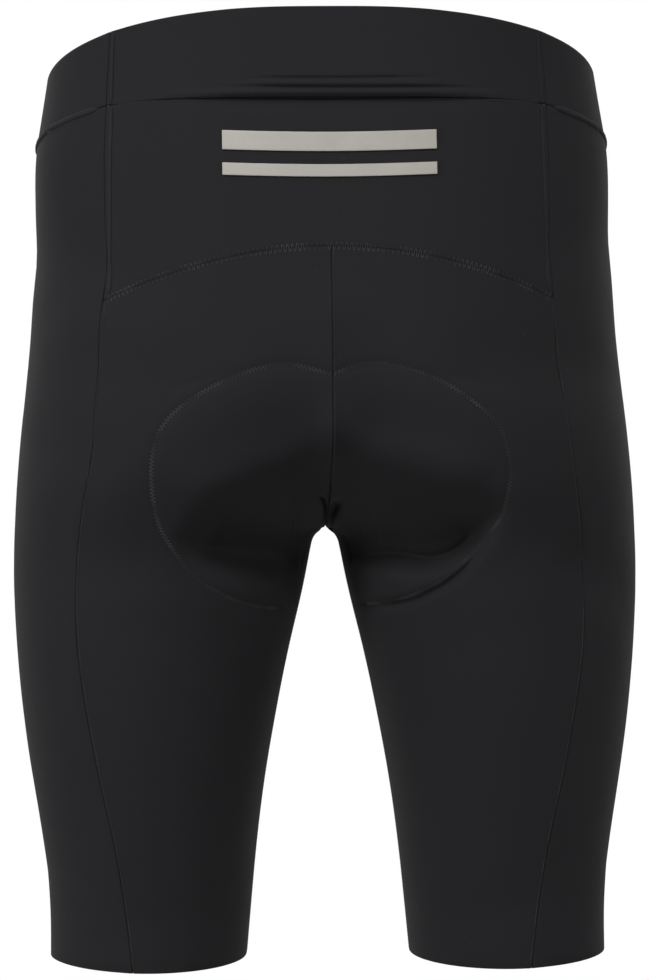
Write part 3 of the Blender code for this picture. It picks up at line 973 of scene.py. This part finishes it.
def seam_distance(z: float) -> float:
    """The back seam's distance from the centre at a height."""
    return float(np.interp(z, *zip(*sorted(BACK_SEAM))))


def band_spot(figure: Figure, side: int, turn: float, astride: Vector) -> Spot | None:
    """The band's seam on one side, by the turn in degrees from the centre back."""
    wide, deep = WAIST_HALF
    angle = math.atan2(wide * math.sin(math.radians(turn)), deep * math.cos(math.radians(turn)))
    return figure.round(side * angle, float(np.interp(turn, *zip(*BAND_LINE))), astride)


# Folds of the worn cloth
UNDER_SEAT = (
    Fold(
        ((-0.088, -0.238), (-0.066, -0.249), (-0.04, -0.2535), (-0.018, -0.255), (-0.003, -0.252)),
        0.0215, -0.015, under=0.55, tip=0.35,
    ),
    Fold(
        (
            (0.001, -0.26), (0.0241, -0.2545), (0.0499, -0.257), (0.069, -0.2505), (0.084, -0.237),
            (0.093, -0.22),
        ),
        0.0225, -0.0165, under=0.3,
    ),
    Fold(
        ((0.01, -0.26), (0.0241, -0.2545), (0.0499, -0.257), (0.069, -0.2505), (0.082, -0.237)),
        0.0022, -0.002,
    ),
    Fold(((-0.09, -0.244), (-0.06, -0.25), (-0.0362, -0.252), (-0.014, -0.254)), 0.003, -0.0016),
    Fold(((0.0, -0.098), (0.0, -0.145), (0.0, -0.185)), 0.038, 0.003, tented=True),
    Fold(((0.0, -0.16), (0.0, -0.19), (0.0, -0.222)), 0.034, 0.0105, tented=True, tip=0.5),
    Fold(((-0.09, -0.226), (-0.06, -0.216), (-0.038, -0.207), (-0.006, -0.203)), 0.014, 0.0046),
    Fold(((0.006, -0.203), (0.03, -0.202), (0.06, -0.208), (0.086, -0.222)), 0.014, 0.0046),
    Fold(
        ((0.01, -0.285), (0.042, -0.2822), (0.0663, -0.27), (0.08, -0.256), (0.0905, -0.24)), 0.0022, -0.0034
    ),
    Fold(
        (
            (-0.006, -0.2215), (-0.0047, -0.2229), (-0.0028, -0.2253), (-0.0016, -0.2308), (-0.0013, -0.2363),
            (-0.001, -0.2404), (-0.0008, -0.26),
        ),
        0.0009, -0.01, through=True, tip=0.12,
    ),
    Fold(
        ((0.0052, -0.2235), (0.004, -0.2275), (0.0017, -0.2341), (0.0015, -0.239), (0.0008, -0.26)),
        0.0013, -0.01, through=True, tip=0.2,
    ),
    Fold(((0.0066, -0.223), (0.004, -0.2285), (0.0016, -0.237)), 0.0026, -0.004, through=True, tip=0.4),
)
PAD_FOLDS = (Fold(((0.0, -0.19), (0.0, -0.225), (0.0, -0.262)), 0.01, -0.016, through=True),)
SIDE_FOLDS = (
    Fold(((-0.11, -0.094), (-0.145, -0.088), (-0.18, -0.078)), 0.017, -0.0022),
    Fold(((-0.112, -0.205), (-0.145, -0.195), (-0.176, -0.19)), 0.017, -0.0018),
    Fold(((-0.07, -0.13), (-0.11, -0.128), (-0.16, -0.12)), 0.02, 0.0026),
    Fold(((-0.112, 0.0), (-0.114, -0.05), (-0.112, -0.105)), 0.011, 0.0018),
    Fold(((-0.15, -0.26), (-0.152, -0.32), (-0.148, -0.4)), 0.016, 0.0012),
    Fold(((0.108, -0.09), (0.14, -0.08), (0.176, -0.07)), 0.015, -0.0014),
    Fold(((0.06, -0.135), (0.11, -0.15), (0.174, -0.148)), 0.019, -0.0026),
    Fold(((0.125, -0.25), (0.15, -0.27), (0.178, -0.275)), 0.016, -0.002),
    Fold(((-0.128, -0.456), (-0.09, -0.46), (-0.05, -0.454)), 0.014, -0.0012),
    Fold(((0.128, -0.45), (0.09, -0.456), (0.05, -0.46)), 0.014, -0.0012),
)
POCKET_ROLLS = (
    Fold(((-0.066, 0.0036), (-0.03, 0.003), (0.02, 0.0026), (0.093, 0.0034)), 0.0008, -0.0018),
    Fold(((-0.054, 0.0084), (-0.005, 0.0078), (0.064, 0.0084)), 0.0008, -0.0012),
    Fold(((-0.06, 0.0058), (0.0, 0.0052), (0.076, 0.0058)), 0.0014, 0.0006),
    Fold(((-0.105, 0.0006), (0.0, 0.0), (0.11, 0.0004)), 0.0018, 0.0018),
)
YOKE_FOLDS = (Fold(((-0.108, -0.0026), (0.0, -0.005), (0.112, -0.003)), 0.0032, -0.0032),)
BAG_FOLDS = (
    Fold(((-0.112, -0.005), (0.0, -0.008), (0.115, -0.005)), 0.005, -0.0034),
    Fold(((-0.126, 0.0018), (0.0, 0.0028), (0.126, 0.0018)), 0.002, 0.0024, tip=0.04),
)
FRONT_FOLDS = tuple(
    Fold(tuple((side * x, z) for x, z in line), width, depth, Facing.FRONT)
    for line, width, depth in (
        (((0.09, -0.19), (0.06, -0.208), (0.025, -0.22)), 0.006, -0.0016),
        (((0.08, -0.225), (0.052, -0.233), (0.022, -0.237)), 0.0055, -0.0014),
    )
    for side, _ in SIDES
)


@dataclass
class Garment:
    """The shorts: their panels, then their sewing."""

    panels: dict[str, Panel] = field(default_factory=dict)

    def cut(self) -> None:
        """Builds every cut piece."""
        back_folds = UNDER_SEAT + SIDE_FOLDS
        front_folds = back_folds + FRONT_FOLDS
        for panel in (
            Panel(
                "waistband_back", BAND_KNIT, (0.236, 0.046), 0.0107, levels=4, row_cuts=2, folds=POCKET_ROLLS
            ),
            Panel("waistband_front", BAND_KNIT, (0.56, 0.042), 0.0205),
            Panel("back_yoke", BODY_KNIT, (0.236, 0.101), 0.0208, folds=YOKE_FOLDS + SIDE_FOLDS),
            Panel("pocket_bag", POCKET_KNIT, (0.24, 0.104), 0.022, folds=BAG_FOLDS + SIDE_FOLDS),
            *(
                Panel(
                    f"back_panel_{word}", BODY_KNIT, (0.18, 0.375), 0.051, folds=back_folds,
                    lifted=True, creased=True,
                )
                for _, word in SIDES
            ),
            *(
                Panel(f"front_panel_{word}", BODY_KNIT, (0.33, 0.45), 0.13, levels=2, folds=front_folds)
                for _, word in SIDES
            ),
            Panel("reflective_stripe_wide", FILM, (0.1185, 0.0115), 0.00136, edge=0.00015),
            Panel("reflective_stripe_narrow", FILM, (0.1185, 0.0076), 0.00089, edge=0.00015),
            Panel(
                "seat_pad", PAD_KNIT, (0.2, 0.25), 0.05, edge=0.0006, folds=front_folds + PAD_FOLDS,
                padded=True,
            ),
        ):
            panel.build()
            self.panels[panel.node] = panel

    def sew(self) -> None:
        """Lays the seams and their stitches on the cloth."""
        figure = Figure(
            self.panels[name].dressed
            for name in (
                "waistband_back", "waistband_front", "back_yoke", "back_panel_left", "back_panel_right",
                "front_panel_left", "front_panel_right",
            )
        )
        yoke = self.panels["back_yoke"]
        arch = route_of(figure.behind(x, yoke_height(x), UPRIGHT) for x in np.linspace(-0.1225, 0.1225, 200))
        row = SewnRow("yoke_seam_ladder", Stitch.LADDER, 0.004, 0.0027, 0.00017, BODY_THREAD)
        yoke.trims.append(row.build(arch, figure))
        yoke.trims.append(self.seam_fill("yoke_seam_fill", arch, SEAM_KNIT, sink=0.00065))
        for side, word in SIDES:
            edge = route_of(
                figure.behind(side * x, -0.0045 + 0.0018 * (x / 0.123) ** 2, UPRIGHT * 2.0)
                for x in np.linspace(0.088, 0.1218, 40)
            )
            self.panels["waistband_back"].trims.append(
                self.seam_fill(f"pocket_end_fill_{word}", edge, BAND_KNIT, sink=0.00052)
            )
        for side, word in SIDES:
            self.sew_side(figure, side, word)
            self.sew_pad(figure, word)
        self.sew_centre(figure)

    def seam_fill(
        self, name: str, route: Route, finish: KnitFinish = BODY_KNIT, sink: float = 0.00085
    ) -> bpy.types.Object:
        """The turned edges that lie between two panels, under the surface."""
        return SeamRidge(name, 0.001, 0.0005, finish, sink=sink, sides=8, end=0.5).build(route)

    def sew_side(self, figure: Figure, side: int, word: str) -> None:
        """Sews the back seam down one side and the band's seam round to the front.

        Args:
            figure: The cloth.
            side: -1 for the left and 1 for the right.
            word: The side's name.
        """

        def down(high: float, low: float, count: int) -> list[Spot]:
            """The spots down this side's back seam between two heights."""
            found = [figure.behind(side * seam_distance(z), z, LEVEL) for z in np.linspace(high, low, count)]
            return [spot for spot in found if spot is not None]

        front = self.panels[f"front_panel_{word}"].trims
        band = self.panels["waistband_back"].trims
        flatter = 1.0 if word == "left" else 0.7
        upper = down(0.0402, -0.003, 90)
        top = upper[0]
        over = ((0.004, -0.006), (0.0036, -0.0024), (0.0022, -0.0006), (0.0006, -0.0007))
        line = route_of([*(Spot(top.place + Vector((0.0, y, z)), top.out) for y, z in over), *upper[3:]])
        ridge = SeamRidge(
            f"band_side_ridge_{word}", 0.001 * flatter, 0.00085 * flatter, TURNED_KNIT,
            aside=-side * 0.0016, drift=-side * 0.0022,
        )
        band.append(ridge.build(line, figure))
        band.append(self.seam_fill(f"band_side_fill_{word}", route_of(upper), BAND_KNIT, sink=0.0011))
        middle = route_of(down(-0.005, -0.111, 120))
        ridge = SeamRidge(
            f"yoke_side_ridge_{word}", 0.0013 * flatter, 0.0008 * flatter, TURNED_KNIT,
            aside=-side * 0.0036, drift=side * 0.0006,
        )
        self.panels["back_yoke"].trims.append(ridge.build(middle, figure))
        front.append(self.seam_fill(f"yoke_side_fill_{word}", middle))
        lower = route_of(down(-0.113, -0.486, 320))
        row = SewnRow(
            f"side_seam_stitch_{word}", Stitch.RUNNING, 0.0, 0.003, 0.00013, DARK_THREAD, aside=-side * 0.0012
        )
        front.append(row.build(lower, figure))
        front.append(self.seam_fill(f"side_seam_fill_{word}", lower))
        around = (band_spot(figure, side, float(turn), UPRIGHT) for turn in np.linspace(49.0, 179.6, 260))
        ridge = SeamRidge(f"band_seam_ridge_{word}", 0.0019, 0.00115, TURNED_KNIT, sides=14)
        front.append(ridge.build(route_of(around), figure))

    def sew_pad(self, figure: Figure, word: str) -> None:
        """Sews one side of the pad's outline."""
        line = smooth_line(PAD_LEFT if word == "left" else PAD_RIGHT, 220)
        # Below this height the pad's stitching is in the darker thread
        dark_thread_below = -0.264 if word == "left" else -0.243
        turn = next(i for i, place in enumerate(line) if place[1] < dark_thread_below)
        runs = (("upper", line[: turn + 1], BODY_THREAD), ("lower", line[turn:], DARK_THREAD))
        for part, run, thread in runs:
            spots = [figure.behind(float(x), float(z), Vector()) for x, z in run]
            row = SewnRow(f"pad_outline_zigzag_{part}_{word}", Stitch.ZIGZAG, 0.0026, 0.0021, 0.0002, thread)
            self.panels[f"back_panel_{word}"].trims.append(row.build(route_of(spots), figure))

    def sew_centre(self, figure: Figure) -> None:
        """Sews the centre seams at the back and the front, and the inside legs."""
        rear = route_of(figure.behind(0.0, z, LEVEL) for z in np.linspace(-0.088, -0.215, 140))
        row = SewnRow("centre_back_stitch", Stitch.RUNNING, 0.0, 0.0026, 0.00011, DARK_THREAD, aside=0.0011)
        right = self.panels["back_panel_right"]
        right.trims.append(row.build(rear, figure))
        right.trims.append(self.seam_fill("centre_back_fill", rear, sink=0.0012))
        fore = route_of(figure.before(0.0, z, LEVEL) for z in np.linspace(-0.047, -0.23, 160))
        row = SewnRow("centre_front_stitch", Stitch.ZIGZAG, 0.003, 0.0022, 0.00017, BODY_THREAD)
        right = self.panels["front_panel_right"]
        right.trims.append(row.build(fore, figure))
        right.trims.append(self.seam_fill("centre_front_fill", fore))
        for side, word in SIDES:
            inner = route_of(figure.between(side, 0.0, z, INWARD) for z in np.linspace(-0.25, -0.485, 200))
            row = SewnRow(f"inside_leg_zigzag_{word}", Stitch.ZIGZAG, 0.003, 0.0022, 0.00017, BODY_THREAD)
            front = self.panels[f"front_panel_{word}"]
            front.trims.append(row.build(inner, figure))
            front.trims.append(self.seam_fill(f"inside_leg_fill_{word}", inner))

    def declare(self) -> None:
        """Puts the films among the yoke's sewing and calls declare on every other panel."""
        yoke = self.panels["back_yoke"]
        for panel in self.panels.values():
            if panel.node.startswith("reflective"):
                yoke.trims.append(panel.dressed)
        for panel in self.panels.values():
            if not panel.node.startswith("reflective"):
                panel.declare([] if panel.node == "waistband_back" else ["waistband_back_cloth"])


@dataclass(frozen=True)
class SoftBox:
    """A soft studio lamp."""

    name: str
    place: Vector
    size: float
    power: float
    aim: Vector = Vector((0.0, 0.0, -0.22))

    def build(self) -> None:
        """Adds the lamp, turned towards the garment."""
        lamp = bpy.data.lights.new(self.name, "AREA")
        lamp.shape = "DISK"
        lamp.size = self.size
        lamp.energy = self.power
        holder = bpy.data.objects.new(self.name, lamp)
        holder.location = self.place
        holder.rotation_euler = (self.aim - self.place).to_track_quat("-Z", "Y").to_euler()
        bpy.context.scene.collection.objects.link(holder)


@dataclass(frozen=True)
class Studio:
    """White surroundings, a pale floor, soft lamps and the camera."""

    distance: float = 2.0
    height: float = -0.219
    turn: float = math.radians(-2.3)
    roll: float = math.radians(-0.45)
    metres_per_pixel: float = 0.00058
    image: tuple[int, int] = (649, 980)
    floor_height: float = -1.0
    floor_radius: float = 2.6
    above: float = 0.6
    below: float = 0.03

    def surroundings(self) -> None:
        """Sets a white background that lights the garment more from above than from below."""
        world = bpy.data.worlds.new("studio")
        bpy.context.scene.world = world
        world.use_nodes = True
        world.node_tree.nodes.clear()
        net = Net(world.node_tree)
        height = net.add("SeparateXYZ", {0: net.add("TexCoord").outputs["Generated"]}).outputs["Z"]
        span = {"From Min": -0.35, "From Max": 0.7, "To Min": self.below, "To Max": self.above}
        ramp = net.add("MapRange", {"Value": height, **span})
        white = (1.0, 1.0, 1.0, 1.0)
        seen = net.add("Background", {"Color": white})
        lit = net.add("Background", {"Color": white, "Strength": ramp.outputs[0]})
        path = net.add("LightPath").outputs["Is Camera Ray"]
        mix = net.add("MixShader", {0: path, 1: lit.outputs[0], 2: seen.outputs[0]})
        net.add("OutputWorld", {"Surface": mix.outputs[0]})

    def floor(self) -> None:
        """Adds a round pale floor at the height of the ground under worn shorts."""
        disc = bmesh.new()
        place = Matrix.Translation((0.0, 0.0, self.floor_height))
        bmesh.ops.create_circle(disc, cap_ends=True, segments=96, radius=self.floor_radius, matrix=place)
        mesh = bpy.data.meshes.new("floor")
        disc.to_mesh(mesh)
        disc.free()
        made, net, shader = new_material("pale_floor")
        cloud = net.noise(net.add("TexCoord").outputs["Object"], 3.0, 3.0)
        colour = net.mix(cloud, (0.8, 0.8, 0.8), (0.84, 0.84, 0.84))
        net.fill(shader, {"Base Color": colour, "Roughness": 0.9})
        mesh.materials.append(made)
        floor = bpy.data.objects.new("floor", mesh)
        bpy.context.scene.collection.objects.link(floor)
        floor.visible_diffuse = False

    def camera(self) -> None:
        """Sets the camera level with the seat, straight behind but for a small turn and roll."""
        data = bpy.data.cameras.new("camera")
        data.sensor_width = 36.0
        data.lens = data.sensor_width * self.distance / (self.metres_per_pixel * self.image[1])
        ahead = Vector((-math.sin(self.turn), math.cos(self.turn), 0.0))
        camera = bpy.data.objects.new("camera", data)
        camera.location = -ahead * self.distance + Vector((0.0, 0.0, self.height))
        level = ahead.to_track_quat("-Z", "Y").to_matrix()
        camera.rotation_euler = (level @ Matrix.Rotation(self.roll, 3, "Z")).to_euler()
        bpy.context.scene.collection.objects.link(camera)
        bpy.context.scene.camera = camera

    def build(self) -> None:
        """Builds the whole studio."""
        self.surroundings()
        self.floor()
        for lamp in (
            SoftBox("key_left", Vector((-1.0, -2.3, 2.3)), 1.0, 57.0),
            SoftBox("back_fill", Vector((0.3, -3.0, 0.5)), 1.6, 9.0),
            SoftBox("low_left", Vector((-2.3, -1.4, -0.35)), 0.8, 27.0, Vector((-0.1, 0.0, -0.55))),
            SoftBox("fill_right", Vector((2.4, -1.0, 0.7)), 1.8, 1.0),
            SoftBox("low_right", Vector((2.3, -1.4, -0.6)), 0.8, 15.0, Vector((0.1, 0.0, -0.55))),
            SoftBox("front_left", Vector((-1.5, 2.6, 0.7)), 1.4, 11.0),
            SoftBox("front_right", Vector((1.7, 2.4, 0.3)), 1.4, 9.0),
        ):
            lamp.build()
        self.camera()
        bpy.context.scene.view_settings.view_transform = "Standard"


def main() -> None:
    """Builds the garment and the studio."""
    logging.basicConfig(level=logging.INFO, format="%(message)s")
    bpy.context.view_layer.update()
    garment = Garment()
    garment.cut()
    garment.sew()
    garment.declare()
    Studio().build()


if __name__ == "__main__":
    main()
